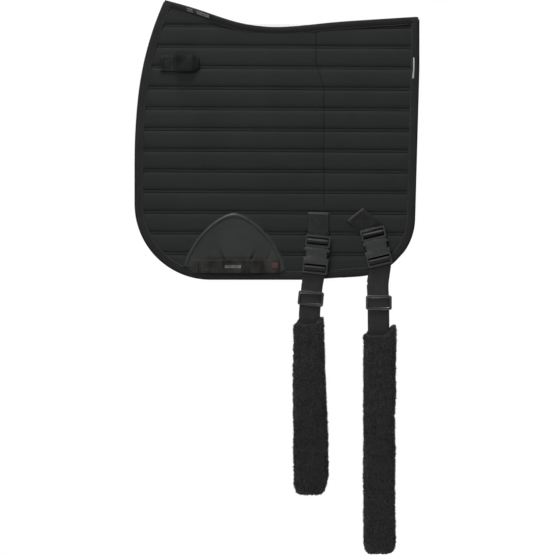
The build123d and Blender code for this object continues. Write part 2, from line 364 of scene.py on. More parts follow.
def two_layers(front, back, rows, cols):
    """Points and faces of a closed sheet from its front and back grids."""
    total = rows * cols
    faces = grid_faces(rows, cols) + grid_faces(rows, cols, total)
    around = [c for c in range(cols)]
    around += [r * cols + cols - 1 for r in range(1, rows)]
    around += [(rows - 1) * cols + c for c in range(cols - 2, -1, -1)]
    around += [r * cols for r in range(rows - 2, 0, -1)]
    faces += [(a, b, b + total, a + total) for a, b in zip(around, around[1:] + around[:1])]
    return np.concatenate([front.reshape(-1, 3), back.reshape(-1, 3)]), faces


def off_copy(thing, name):
    """The mirror image of a near-side piece for the off side."""
    mesh = thing.data.copy()
    mesh.name = name
    mesh.transform(Matrix.Scale(-1, 4, (0, 1, 0)))
    mesh.flip_normals()
    other = bpy.data.objects.new(name, mesh)
    scene.collection.objects.link(other)
    return other


twill = Finish(
    "black_cotton_twill", roughness=0.85, specular_ior_level=0.02, sheen_weight=0.12, sheen_roughness=0.5,
)
twill_x, twill_y, twill_z = twill.split(twill.place())
twill_rib = (twill_x + twill_z).wave(0.0011)
twill_thread = (twill_x - twill_z).wave(0.0007)
twill_cloud = twill.noise(9, 4)
twill_fleck = twill.noise(900, 2)
twill_wander = twill.noise(34, 2)
# Painted shade: the colour darkens along both stitch rows of every seam, where the quilting's grooves fall
# into shade.
twill_level = twill_z + twill_x * seam_fall - (seam_top - seam_pair / 2) + (twill_wander - 0.5) * 0.0018
twill_row = twill_level.math("PINGPONG", seam_pitch / 2)
twill_twin = (twill_level - seam_pair).math("PINGPONG", seam_pitch / 2)
twill_painted_seam_shade = (twill_row.math("MINIMUM", twill_twin) / 0.0017).math("MINIMUM", 1.0)
twill_worn = twill_cloud * 0.35 + twill_fleck * 0.25 + 0.40
# Painted shade: the colour also darkens along the long upright crease, stopping short of the hem.
twill_lower = ((twill_z * -1 - crease_from) / crease_over).math("MAXIMUM", 0.0).math("MINIMUM", 1.0)
twill_painted_crease_shade = (twill_x - crease_top_x - twill_lower * crease_shift).math("ABSOLUTE") / 0.0022
twill_painted_crease_shade = twill_painted_crease_shade.math("MAXIMUM", (twill_z * -1 - 0.335) * 500).math("MINIMUM", 1.0)
# Painted shade: both darkenings scale the twill's own mottled colour.
twill_painted_shade = (twill_painted_seam_shade * 0.75 + 0.25) * (twill_painted_crease_shade * 0.65 + 0.35)
twill.colour(twill_worn * twill_painted_shade, (0.0024, 0.0030, 0.0028), (0.0205, 0.0230, 0.0221))
twill.feed("Roughness", twill_fleck * 0.2 + 0.72)
twill.bump(twill_rib * 0.7 + twill_thread * 0.2 + twill_fleck * 0.4, 0.35, 0.0004)

rows_in_channel = np.array([
    0, 0.6, 1.2, 2, 2.9, 3.8, 4.6, 5.2, 5.8, 6.5, 7.6, 9.4, 12, 16, 21, 26, 30, 33.5, 36, 37.8, 38.9,
]) / 1000


def quilt_levels(top, bottom):
    levels = []
    seam = seam_top + 2 * seam_pitch
    while seam > bottom - seam_pitch:
        levels += [seam - seam_pair / 2 + s for s in rows_in_channel]
        seam -= seam_pitch
    levels = np.array(sorted(levels, reverse=True))
    return levels[(levels < top) & (levels > bottom)]


def quilt_depth(z):
    """How far a level stands between the stitch line, 0, and a channel's crown, 1."""
    phase = np.mod(z - (seam_top - seam_pair / 2), seam_pitch)
    in_seam = phase < seam_pair
    ridge = 0.28 * np.sqrt(np.clip(1 - (2 * phase / seam_pair - 1) ** 2, 0, 1))
    t = (phase - seam_pair) / (seam_pitch - seam_pair)
    channel = np.clip(1 - abs(2 * t - 1) ** 3.2, 0, 1) ** 0.55
    return np.where(in_seam, ridge, channel)


pad_cols = 190
pad_bottom = hem_z + 0.0045
pad_levels = quilt_levels(0.07, pad_bottom)
pad_rows = len(pad_levels)
front_of = crossings(side_nodes, 2, pad_levels, 0)
pad_front = np.where(np.isnan(front_of[0]), front_x + 0.06, front_of[0])
pad_rear = np.where(np.isnan(front_of[1]) | (front_of[1] < 0.2), rear_x - 0.012, front_of[1])
corner_rows = pad_levels < -0.3
pad_rear[corner_rows] = front_of[1][corner_rows]
pad_u = np.linspace(0, 1, pad_cols)
pad_x = (pad_front + under_binding)[:, None] * (1 - pad_u) + (pad_rear - under_binding)[:, None] * pad_u
tilt = -seam_fall * pad_x
pad_z = pad_levels[:, None] + tilt
ceiling = spine_line(pad_x) - 0.006
pad_z = np.minimum(pad_z, ceiling)
quilt = quilt_depth(pad_levels)[:, None] * np.ones((1, pad_cols))
quilt = np.where(pad_z < ceiling - 1e-6, quilt, 0.3)


def sewn_puckers(levels, across):
    """How unevenly cloth stands out between its seams once it is sewn down and filled.

    A flat sheet is pinned along every row of stitches, filled from behind and left to
    settle. What remains when its even bulge is taken away is the pucker of the seams.
    """
    shares = np.array([0, 0.145, 0.21, 0.32, 0.46, 0.60, 0.74, 0.88])
    seams = np.arange(14)[:, None]
    sheet_levels = seam_top - seam_pair / 2 + seam_pitch - seams * seam_pitch + shares * seam_pitch
    sheet_z = np.sort(sheet_levels.ravel())
    held = np.isin(np.arange(len(sheet_z)) % 8, (0, 1))
    sheet_x = np.linspace(-0.275, 0.275, 112)
    size = (len(sheet_z), len(sheet_x))
    start = np.zeros((*size, 3))
    start[..., 0] = sheet_x
    start[..., 1] = -0.0002 * smooth_noise(15, size, (3, 3))
    start[..., 2] = sheet_z[:, None]
    pinned = held[:, None] | (np.arange(size[1]) % (size[1] - 1) == 0)[None, :]
    sheet_mesh = bpy.data.meshes.new("sewn_sheet")
    sheet_mesh.from_pydata([tuple(p) for p in start.reshape(-1, 3)], [], grid_faces(*size))
    sheet = bpy.data.objects.new("sewn_sheet", sheet_mesh)
    scene.collection.objects.link(sheet)
    stitched = sheet.vertex_groups.new(name="stitched")
    stitched.add([int(i) for i in np.flatnonzero(pinned.ravel())], 1.0, "REPLACE")
    cloth = sheet.modifiers.new("cloth", "CLOTH")
    cloth.settings.vertex_group_mass = "stitched"
    cloth.settings.quality = 5
    cloth.settings.use_pressure = True
    cloth.settings.uniform_pressure_force = 2.0
    cloth.settings.shrink_min = -0.035
    cloth.settings.bending_stiffness = 0.05
    cloth.settings.effector_weights.gravity = 0
    cloth.collision_settings.use_collision = False
    for step in range(1, 19):
        scene.frame_set(step)
    settled = sheet.evaluated_get(bpy.context.evaluated_depsgraph_get()).to_mesh()
    end = np.zeros(len(settled.vertices) * 3)
    settled.vertices.foreach_get("co", end)
    stand = (abs(end.reshape(*size, 3)[..., 1]) - abs(end.reshape(*size, 3)[..., 1]).mean(1, keepdims=True))
    stand = np.clip(stand / max(stand.std(), 1e-9), -2.5, 2.5)
    scene.frame_set(1)
    sheet.modifiers.clear()
    bpy.data.objects.remove(sheet)
    row = np.interp(levels, sheet_z, np.arange(size[0]))
    col = np.interp(across, sheet_x, np.arange(size[1]))
    row = np.broadcast_to(row[:, None], across.shape)
    r, c = np.minimum(row.astype(int), size[0] - 2), np.minimum(col.astype(int), size[1] - 2)
    fr, fc = row - r, col - c
    return (stand[r, c] * (1 - fr) * (1 - fc) + stand[r + 1, c] * fr * (1 - fc)
            + stand[r, c + 1] * (1 - fr) * fc + stand[r + 1, c + 1] * fr * fc)


pucker = smooth_noise(11, (pad_rows, pad_cols), (6, 4))
pucker = pucker * 0.4 + sewn_puckers(pad_levels, pad_x)
ripple = smooth_noise(12, (pad_rows, pad_cols), (18, 9))
swell = smooth_noise(13, (pad_rows, pad_cols), (60, 50))
near_seam = np.exp(-((quilt - 0.45) / 0.35) ** 2)
crease_x = crease_top_x + crease_shift * np.clip((-pad_z - crease_from) / crease_over, 0, 1)
crease = np.exp(-((pad_x - crease_x) / 0.0028) ** 2) * np.clip((pad_z + 0.345) / 0.02, 0, 1)
pad_outer = stitch_y + (crown_y - stitch_y) * quilt
pad_outer += quilt * (0.0003 * ripple + 0.0005 * swell) + near_seam * 0.00022 * pucker
pad_outer -= 0.0009 * crease
rim = np.minimum(np.minimum(pad_x - pad_x[:, :1], pad_x[:, -1:] - pad_x), pad_z - pad_z.min())
pressed = np.clip(rim / 0.020, 0, 1)
pad_outer = edge_outer_y + (pad_outer - edge_outer_y) * pressed ** 0.5
pad_inner = edge_inner_y - (edge_inner_y - lining_crown_y) * quilt * pressed

pad_face = np.stack([pad_x, -pad_outer, pad_z], -1)
pad_lining = np.stack([pad_x, -pad_inner, pad_z], -1)
near_pad = piece("near_pad", *two_layers(pad_face, pad_lining, pad_rows, pad_cols), twill)
off_pad = off_copy(near_pad, "off_pad")


def flap_bend(thing, side):
    """Cloth that crosses the fold between the yoke and a flap, baked where it stands; it is not bent."""
    y = -0.0115 if side == "near" else 0.0115
    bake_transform(thing)


for side, pad in (("near", near_pad), ("off", off_pad)):
    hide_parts(f"{side}_flap_shell", f"{side}_flap_core", f"{side}_flap_lining")
    flap_bend(pad, side)
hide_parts("yoke_shell", "yoke_core", "yoke_lining")

# ---- Edge binding: a wide ribbed tape folded over the pad's edge and sewn down ----
# It runs from the spine down the front, round the hem and up the rear on each side.
binding_profile = [
    (0.0165, 0.0156), (0.0163, 0.0166), (0.0150, 0.0170), (0.0120, 0.0172), (0.0080, 0.0174),
    (0.0040, 0.0172), (0.0018, 0.0165), (0.0006, 0.0152), (0.0000, 0.0132), (0.0000, 0.0100),
    (0.0006, 0.0078), (0.0018, 0.0066), (0.0040, 0.0060), (0.0080, 0.0058), (0.0120, 0.0059),
    (0.0150, 0.0061), (0.0163, 0.0064), (0.0165, 0.0074), (0.0120, 0.0090), (0.0120, 0.0140),
]


def inward_normals(points):
    """Unit vectors that point into the pad from its edge, which runs front, hem, rear."""
    step = np.gradient(points, axis=0)
    step /= np.linalg.norm(step, axis=1)[:, None]
    return np.stack([-step[:, 1], step[:, 0]], 1)


def ribbed_tape(name, low, high):
    """Ribbed cotton binding tape between two shades."""
    finish = Finish(name, roughness=0.8, specular_ior_level=0.02, sheen_weight=0.04)
    across, along, unused = finish.split(finish.place("UV"))
    rib = across.wave(0.0016)
    weft = along.wave(0.0009)
    cloud = finish.noise(14, 3)
    finish.colour(cloud * 0.7 + weft * 0.3, low, high)
    finish.bump(rib * 0.7 + weft * 0.5, 0.4, 0.0004)
    return finish


ribbed = ribbed_tape("ribbed_binding_tape", (0.0098, 0.0098, 0.0098), (0.0212, 0.0212, 0.0212))

edge_in = inward_normals(edge_line)
edge_step = np.r_[0, np.cumsum(np.linalg.norm(np.diff(edge_line, axis=0), axis=1))]
rng = np.random.default_rng(21)
edge_wave = np.interp(edge_step, np.linspace(0, edge_step[-1], 90), rng.normal(0, 0.00025, 90))
binding_points, binding_uv = [], []
for i, (x, z) in enumerate(edge_line):
    for k, (depth, y) in enumerate(binding_profile):
        proud = edge_wave[i] * (0.003 < depth < 0.0155) * (1 if y > 0.0115 else -1)
        binding_points.append((x + edge_in[i, 0] * depth, -(y + proud), z + edge_in[i, 1] * depth))
        binding_uv.append((depth if y > 0.0115 else -depth, edge_step[i]))
ring = len(binding_profile)
binding_faces = grid_faces(len(edge_line), ring, wrap=True)
binding_faces += [tuple(range(ring)), tuple(range((len(edge_line) - 1) * ring, len(edge_line) * ring))]
near_binding = piece("near_binding", binding_points, binding_faces, ribbed, binding_uv)
off_binding = off_copy(near_binding, "off_binding")
for side, tape in (("near", near_binding), ("off", off_binding)):
    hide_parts(f"{side}_flap_binding", f"{side}_yoke_binding")
    flap_bend(tape, side)

# ---- Spine tape: the same tape, wider over the top, closing the fold ----
# It is folded over the spine from front to rear and follows its dip.
spine_profile = [
    (-0.0068, -0.0165), (-0.0158, -0.0168), (-0.0166, -0.0160), (-0.0171, -0.0140), (-0.0172, -0.0100),
    (-0.0168, -0.0062), (-0.0152, -0.0030), (-0.0118, -0.0010), (-0.0060, -0.0002), (0.0, 0.0),
]
spine_profile += [(-y, z) for y, z in spine_profile[-2::-1]]
spine_profile += [(0.0066, -0.0120), (0.0030, -0.0103), (-0.0030, -0.0103), (-0.0066, -0.0120)]
spine_x = np.linspace(-0.2155, 0.2738, 200)
spine_points, spine_uv = [], []
spine_rng = np.random.default_rng(31)
spine_wave = np.interp(spine_x, np.linspace(-0.22, 0.28, 60), spine_rng.normal(0, 0.0003, 60))
slope = np.gradient(spine_line(spine_x), spine_x)
for i, x in enumerate(spine_x):
    length = math.hypot(1, slope[i])
    lean, level = -slope[i] / length, 1 / length
    for y, z in spine_profile:
        spine_points.append((x + lean * z, y * (1 + spine_wave[i] * 20), spine_line(x) + level * z))
        spine_uv.append((z if y < 0 else -z, x))
ring = len(spine_profile)
spine_faces = grid_faces(len(spine_x), ring, wrap=True)
spine_faces += [tuple(range(ring)), tuple(range((len(spine_x) - 1) * ring, len(spine_x) * ring))]
# Painted shade: the spine's copy of the tape is coloured about half as light as the binding's, to darken the
# top edge that the lamps above light most.
spine_ribbed_painted_shade = ribbed_tape("ribbed_spine_tape_painted_shade", (0.0050, 0.0050, 0.0050), (0.0105, 0.0105, 0.0105))
spine_tape = piece("spine_tape_cover", spine_points, spine_faces, spine_ribbed_painted_shade, spine_uv)
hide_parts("spine_tape")
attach(spine_tape, "yoke")

# ---- Sewing: rows of lockstitch, one short thread after another ----
# Every seam is drawn as a line of points on its cloth and sewn by the same tree.
thread = Finish("black_thread", roughness=0.6, specular_ior_level=0.25, base_color=(0.01, 0.0105, 0.0105, 1))

def tree_input(tree, name, kind):
    """One input of a node tree, by the kind of its socket."""
    return tree.interface.new_socket(name, in_out="INPUT", socket_type="NodeSocket" + kind)

sewing = bpy.data.node_groups.new("sewing", "GeometryNodeTree")
sewing.is_modifier = True
tree_input(sewing, "Geometry", "Geometry")
sewing_pitch = tree_input(sewing, "Stitch pitch", "Float")
sewing_length = tree_input(sewing, "Stitch length", "Float")
sewing_thick = tree_input(sewing, "Thread thickness", "Float")
sewing_thread = tree_input(sewing, "Thread", "Material")
sewing.interface.new_socket("Geometry", in_out="OUTPUT", socket_type="NodeSocketGeometry")
sewing_in = sewing.nodes.new("NodeGroupInput")
sewing_out = sewing.nodes.new("NodeGroupOutput")
sewing_line = sewing.nodes.new("GeometryNodeMeshToCurve")
sewing_even = sewing.nodes.new("GeometryNodeResampleCurve")
sewing_even.mode = "LENGTH"
sewing_bead = sewing.nodes.new("GeometryNodeMeshIcoSphere")
sewing_bead.inputs["Radius"].default_value = 0.5
sewing_bead.inputs["Subdivisions"].default_value = 1
sewing_turn = sewing.nodes.new("FunctionNodeAlignRotationToVector")
sewing_turn.axis = "X"
sewing_way = sewing.nodes.new("GeometryNodeInputTangent")
sewing_size = sewing.nodes.new("ShaderNodeCombineXYZ")
sewing_place = sewing.nodes.new("GeometryNodeInstanceOnPoints")
sewing_real = sewing.nodes.new("GeometryNodeRealizeInstances")
sewing_soft = sewing.nodes.new("GeometryNodeSetShadeSmooth")
sewing_coat = sewing.nodes.new("GeometryNodeSetMaterial")
for source, target in (
    (sewing_in.outputs["Geometry"], sewing_line.inputs["Mesh"]),
    (sewing_line.outputs["Curve"], sewing_even.inputs["Curve"]),
    (sewing_in.outputs["Stitch pitch"], sewing_even.inputs["Length"]),
    (sewing_way.outputs["Tangent"], sewing_turn.inputs["Vector"]),
    (sewing_in.outputs["Stitch length"], sewing_size.inputs["X"]),
    (sewing_in.outputs["Thread thickness"], sewing_size.inputs["Y"]),
    (sewing_in.outputs["Thread thickness"], sewing_size.inputs["Z"]),
    (sewing_even.outputs["Curve"], sewing_place.inputs["Points"]),
    (sewing_bead.outputs["Mesh"], sewing_place.inputs["Instance"]),
    (sewing_turn.outputs["Rotation"], sewing_place.inputs["Rotation"]),
    (sewing_size.outputs["Vector"], sewing_place.inputs["Scale"]),
    (sewing_place.outputs["Instances"], sewing_real.inputs["Geometry"]),
    (sewing_real.outputs["Geometry"], sewing_soft.inputs["Geometry"]),
    (sewing_soft.outputs["Geometry"], sewing_coat.inputs["Geometry"]),
    (sewing_in.outputs["Thread"], sewing_coat.inputs["Material"]),
    (sewing_coat.outputs["Geometry"], sewing_out.inputs["Geometry"]),
):
    sewing.links.new(source, target)


def grown(name, base, tree, settings):
    """What a tree makes of a base mesh, as a plain mesh object."""
    base_object = bpy.data.objects.new(name + "_base", base)
    scene.collection.objects.link(base_object)
    modifier = base_object.modifiers.new("tree", "NODES")
    modifier.node_group = tree
    for socket, value in settings:
        modifier[socket.identifier] = value
    graph = bpy.context.evaluated_depsgraph_get()
    result = bpy.data.meshes.new_from_object(base_object.evaluated_get(graph))
    result.name = name
    base_object.modifiers.clear()
    bpy.data.objects.remove(base_object)
    thing = bpy.data.objects.new(name, result)
    scene.collection.objects.link(thing)
    return thing


def sew(name, lines, pitch=0.0032, stitch=0.0027, thick=0.0007, finish=thread):
    """Stitches along lines of points."""
    points, edges = [], []
    for line in lines:
        start = len(points)
        points += [tuple(p) for p in line]
        edges += [(i, i + 1) for i in range(start, len(points) - 1)]
    base = bpy.data.meshes.new(name + "_lines")
    base.from_pydata(points, edges, [])
    return grown(name, base, sewing, (
        (sewing_pitch, pitch), (sewing_length, stitch), (sewing_thick, thick),
        (sewing_thread, finish.material),
    ))


seam_rows = [r for r in range(pad_rows) if quilt_depth(pad_levels[r:r + 1])[0] < 1e-9]
seam_lines = []
for r in seam_rows:
    kept = [c for c in range(pad_cols) if pad_z[r, c] < ceiling[r, c] - 0.004 and rim[r, c] > 0.012]
    if len(kept) > 20:
        seam_lines.append([(pad_x[r, c], -pad_outer[r, c] - 0.0001, pad_z[r, c]) for c in kept])
near_quilting = sew("near_quilting", seam_lines, pitch=0.0036, stitch=0.0030, thick=0.0006)
off_quilting = off_copy(near_quilting, "off_quilting")

hem_seam_in = 0.0150
hem_line = [
    (x + edge_in[i, 0] * hem_seam_in, -0.0173, z + edge_in[i, 1] * hem_seam_in)
    for i, (x, z) in enumerate(edge_line)
]
near_binding_seam = sew("near_binding_seam", [hem_line[6:-6]])
off_binding_seam = off_copy(near_binding_seam, "off_binding_seam")
for side, quilting, binding_seam in (
    ("near", near_quilting, near_binding_seam), ("off", off_quilting, off_binding_seam),
):
    flap_bend(quilting, side)
    flap_bend(binding_seam, side)

spine_seam_down = 0.0148
spine_long = np.hypot(1, slope)
spine_seam_lines = []
for side_y in (-0.0171, 0.0171):
    spine_seam_lines.append([
        (
            x + slope[i] / spine_long[i] * spine_seam_down,
            side_y,
            spine_line(x) - spine_seam_down / spine_long[i],
        )
        for i, x in enumerate(spine_x)
    ][4:-4])
spine_seam = sew("spine_seam", spine_seam_lines)
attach(spine_seam, "yoke")

# ---- Webbing: woven tape that carries the buckles and the fleece bands ----
# A tab is sewn flat to the pad by a boxed cross and turns round the upper bar. Under
# the buckle the tape turns round the lower bar, lies back on itself and runs down.
web_w = 0.0408
web_t = 0.0022
tab_out = 0.0171       # middle of a tab, out from the middle of the pad
run_out = 0.0184       # middle of the tape where it hangs
bar_out = 0.022
bar_round = 0.0034
bar_reach = 0.026      # buckle's middle to the middle of each bar
flex_z = -0.486
webs = {
    "a": dict(tab=(0.0807, -0.348), buckle=(0.076, -0.4295), tilt=5.8, slant=0.0,
              run=[(0.0679, flex_z), (0.0652, -0.514), (0.0625, -0.542), (0.0634, -0.592)]),
    "b": dict(tab=(0.1488, -0.3522), buckle=(0.191, -0.4145), tilt=-13.2, slant=-13.0,
              run=[(0.1940, flex_z), (0.1956, -0.522), (0.1964, -0.618)]),
}
tape_section = [
    (-0.470, 0.50), (-0.250, 0.50), (0.0, 0.50), (0.250, 0.50), (0.470, 0.50), (0.495, 0.30), (0.500, 0.0),
    (0.495, -0.30), (0.470, -0.50), (0.250, -0.50), (0.0, -0.50), (-0.250, -0.50), (-0.470, -0.50),
    (-0.495, -0.30), (-0.500, 0.0), (-0.495, 0.30),
]


def webbing_cloth(name, low, high):
    """Ribbed nylon webbing between two shades."""
    finish = Finish(name, roughness=0.55, specular_ior_level=0.04, sheen_weight=0.08, sheen_roughness=0.4)
    across, along, unused = finish.split(finish.place("UV"))
    rib = (across + along.wave(0.0032) * 0.0006).wave(0.0026)
    pick = along.wave(0.0011)
    cloud = finish.noise(22, 3)
    finish.colour(cloud * 0.6 + rib * 0.4, low, high)
    finish.feed("Roughness", cloud * 0.2 + 0.42)
    finish.bump(rib * 0.8 + pick * 0.5, 0.5, 0.0005)
    return finish


woven = webbing_cloth("woven_webbing", (0.0098, 0.0102, 0.0099), (0.0275, 0.0283, 0.0275))
webs["a"]["cloth"] = webbing_cloth("tab_webbing_a", (0.0076, 0.0086, 0.0082), (0.0180, 0.0196, 0.0188))
webs["b"]["cloth"] = webbing_cloth("tab_webbing_b", (0.0040, 0.0040, 0.0040), (0.0110, 0.0106, 0.0106))


round_section = [
    (0.5 * math.cos(t), 0.5 * math.sin(t)) for t in np.linspace(0, 2 * math.pi, 16, endpoint=False)
]


def tape(name, path, across, width, thick, finish, waves=0.0, section=tape_section):
    """A flat strip of cloth along its middle line. across is the way its width lies."""
    path = np.asarray(path, float)
    across = np.broadcast_to(np.asarray(across, float), path.shape)
    width = np.broadcast_to(width, (len(path),))
    step = np.gradient(path, axis=0)
    normal = np.cross(step, across)
    normal /= np.linalg.norm(normal, axis=1)[:, None]
    along = np.r_[0, np.cumsum(np.linalg.norm(np.diff(path, axis=0), axis=1))]
    lift = waves * smooth_noise(41, (len(path), len(section)), (6, 4))
    points, uv = [], []
    for i, p in enumerate(path):
        for k, (u, v) in enumerate(section):
            points.append(p + across[i] * u * width[i] + normal[i] * (v * thick + lift[i, k]))
            uv.append((u * width[i], along[i]))
    ring = len(section)
    faces = grid_faces(len(path), ring, wrap=True)
    faces += [tuple(range(ring)), tuple(range((len(path) - 1) * ring, len(path) * ring))]
    return piece(name, points, faces, finish, uv)


def even_path(points, spacing, rounds=3):
    """Points at even steps along straight runs, with the corners eased."""
    points = np.asarray(points, float)
    steps = np.r_[0, np.cumsum(np.linalg.norm(np.diff(points, axis=0), axis=1))]
    even = np.linspace(0, steps[-1], max(4, int(steps[-1] / spacing)))
    result = np.stack([np.interp(even, steps, points[:, k]) for k in range(points.shape[1])], 1)
    for _ in range(rounds):
        result[1:-1] = (result[:-2] + 2 * result[1:-1] + result[2:]) / 4
    return result


def sideways(way):
    """The level direction across a tape that runs along way in the plane of the pad."""
    way = way / np.linalg.norm(way, axis=-1, keepdims=True)
    return np.stack([-way[..., 1], np.zeros(way.shape[:-1]), way[..., 0]], -1)


def round_bar_tape(name, bar, way, run, out, finish, slant=0.0):
    """Tape that lies back on itself, turns round a bar and leaves it along way.

    run gives its further (x, z) points. slant turns the cut end, in degrees.
    """
    bar = np.array(bar)
    way = np.array(way)
    turn = np.linspace(math.pi, 0, 9)
    local = [(0.0062, out + 0.0025), (0.0046, out + 0.0028), (0.0024, 0.0236)]
    local += [(-bar_round * math.sin(t), bar_out - bar_round * math.cos(t)) for t in turn]
    for a in (0.0025, 0.005, 0.0075):
        ease = (a / 0.012) ** 2 * (3 - 2 * a / 0.012)
        local.append((a, bar_out - bar_round + (out - bar_out + bar_round) * ease))
    path = [(bar[0] + way[0] * a, -o, bar[1] + way[1] * a) for a, o in local]
    across = [sideways(way)] * len(path)
    rest = even_path([bar + way * 0.0100, *run], 0.004, 5)
    path += [(x, -out, z) for x, z in rest]
    sides = sideways(np.gradient(rest, axis=0))
    for i in (1, 2, 3, 4):
        turned = math.radians(slant) * (1.0, 0.75, 0.45, 0.2)[i - 1]
        x, z = sides[-i, 0], sides[-i, 2]
        sides[-i, 0] = x * math.cos(turned) - z * math.sin(turned)
        sides[-i, 2] = x * math.sin(turned) + z * math.cos(turned)
    across += list(sides)
    return tape(name, path, across, web_w, web_t, finish, waves=0.0002)


def boxed_cross(corner_a, corner_b, half_width, inset, out):
    """Lines of a sewn box with a cross in it, along a strip from one point to another."""
    a, b = np.array(corner_a), np.array(corner_b)
    way = (b - a) / np.linalg.norm(b - a)
    side_way = np.array([-way[1], way[0]])
    half = half_width - inset
    corners = [a + side_way * half, a - side_way * half, b - side_way * half, b + side_way * half]
    corners = [(c[0], -out, c[1]) for c in corners]
    return [
        even_path([corners[0], corners[1]], 0.002, 0), even_path([corners[1], corners[2]], 0.002, 0),
        even_path([corners[2], corners[3]], 0.002, 0), even_path([corners[3], corners[0]], 0.002, 0),
        even_path([corners[0], corners[2]], 0.002, 0), even_path([corners[1], corners[3]], 0.002, 0),
    ]


for letter, web in webs.items():
    lean = math.radians(web["tilt"])
    buckle = np.array(web["buckle"])
    up = np.array([math.sin(lean), math.cos(lean)])
    high_bar = buckle + up * bar_reach
    low_bar = buckle - up * bar_reach
    tab_way = (high_bar - np.array(web["tab"])) / np.linalg.norm(high_bar - np.array(web["tab"]))
    near_tab = round_bar_tape(
        f"near_tab_{letter}", high_bar, up, [web["tab"]], tab_out, web["cloth"], slant=web["slant"],
    )
    box_start = np.array(web["tab"]) + tab_way * 0.004
    box_end = np.array(web["tab"]) + tab_way * 0.036
    near_tab_seam = sew(f"near_tab_seam_{letter}", boxed_cross(
        box_start, box_end, web_w / 2, 0.004, tab_out + web_t / 2 + 0.0001,
    ))
    near_run = round_bar_tape(f"near_run_{letter}", low_bar, -up, web["run"], run_out, woven)
    upper_end = [web["run"][0][0], flex_z + 0.0004]
    off_upper = round_bar_tape(f"off_upper_{letter}", low_bar, -up, [upper_end], run_out, woven)
    off_upper.data.transform(Matrix.Scale(-1, 4, (0, 1, 0)))
    off_upper.data.flip_normals()
    lower_start = [web["run"][0][0], flex_z - 0.0004]
    lower_path = even_path([lower_start, *web["run"][1:]], 0.005)
    off_lower = tape(
        f"off_lower_{letter}", [(x, run_out, z) for x, z in lower_path],
        sideways(np.gradient(lower_path, axis=0)), web_w, web_t, woven, waves=0.0002,
    )
    for side, tab, seam in (
        ("near", near_tab, near_tab_seam),
        ("off", off_copy(near_tab, f"off_tab_{letter}"), off_copy(near_tab_seam, f"off_tab_seam_{letter}")),
    ):
        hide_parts(f"{side}_web_tab_{letter}")
        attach(tab, f"{side}_flap")
        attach(seam, f"{side}_flap")
    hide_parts(f"near_web_upper_{letter}", f"near_web_lower_{letter}")
    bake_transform(near_run)
    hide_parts(f"off_web_upper_{letter}")
    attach(off_upper, "off_flap")
    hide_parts(f"off_web_lower_{letter}")
    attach(off_lower, f"off_band_{letter}")

# ---- Fleece bands: a deep-pile sleeve on each loop of webbing, under the belly ----
# Each sleeve hangs from its two webbing legs and turns up at the bottom. Its mouths
# are cut low at the front and stand up in a tuft at one side.
fleece_half_t = 0.0112
fleece_out = 0.020      # middle of a leg, out from the middle of the pad
fleece_cols = 56
pile = Finish(
    "black_fleece", roughness=0.95, specular_ior_level=0.02, sheen_weight=0.06, sheen_roughness=0.6,
)
pile_cloud = pile.noise(45, 4)
pile_fleck = pile.noise(330, 3) * 3.0 - 1.0
pile.colour(pile_cloud * 0.3 + pile_fleck * 0.7, (0.0020, 0.0020, 0.0021), (0.0375, 0.0371, 0.0371))
pile.bump(pile_fleck * 0.8 + pile_cloud * 0.3, 0.6, 0.0012)

pile_tree = bpy.data.node_groups.new("pile", "GeometryNodeTree")
pile_tree.is_modifier = True
tree_input(pile_tree, "Geometry", "Geometry")
pile_many = tree_input(pile_tree, "Tufts per square metre", "Float")
pile_tall = tree_input(pile_tree, "Tuft length", "Float")
pile_seed = tree_input(pile_tree, "Seed", "Int")
pile_coat = tree_input(pile_tree, "Pile", "Material")
pile_tree.interface.new_socket("Geometry", in_out="OUTPUT", socket_type="NodeSocketGeometry")
pile_in = pile_tree.nodes.new("NodeGroupInput")
pile_out = pile_tree.nodes.new("NodeGroupOutput")
pile_spread = pile_tree.nodes.new("GeometryNodeDistributePointsOnFaces")
pile_tuft = pile_tree.nodes.new("GeometryNodeMeshCone")
pile_tuft.inputs["Vertices"].default_value = 4
pile_tuft.inputs["Radius Top"].default_value = 0.06
pile_tuft.inputs["Radius Bottom"].default_value = 0.28
pile_tuft.inputs["Depth"].default_value = 1.0
pile_lean = pile_tree.nodes.new("FunctionNodeRandomValue")
pile_lean.data_type = "FLOAT_VECTOR"
pile_lean.inputs["Min"].default_value = (-0.85, -0.85, 0.0)
pile_lean.inputs["Max"].default_value = (0.85, 0.85, 6.28)
pile_turn = pile_tree.nodes.new("FunctionNodeRotateRotation")
pile_turn.rotation_space = "LOCAL"
pile_size = pile_tree.nodes.new("FunctionNodeRandomValue")
pile_size.data_type = "FLOAT"
pile_size.inputs[2].default_value = 0.55
pile_size.inputs[3].default_value = 1.25
pile_scale = pile_tree.nodes.new("ShaderNodeMath")
pile_scale.operation = "MULTIPLY"
pile_place = pile_tree.nodes.new("GeometryNodeInstanceOnPoints")
pile_real = pile_tree.nodes.new("GeometryNodeRealizeInstances")
pile_soft = pile_tree.nodes.new("GeometryNodeSetShadeSmooth")
pile_set = pile_tree.nodes.new("GeometryNodeSetMaterial")
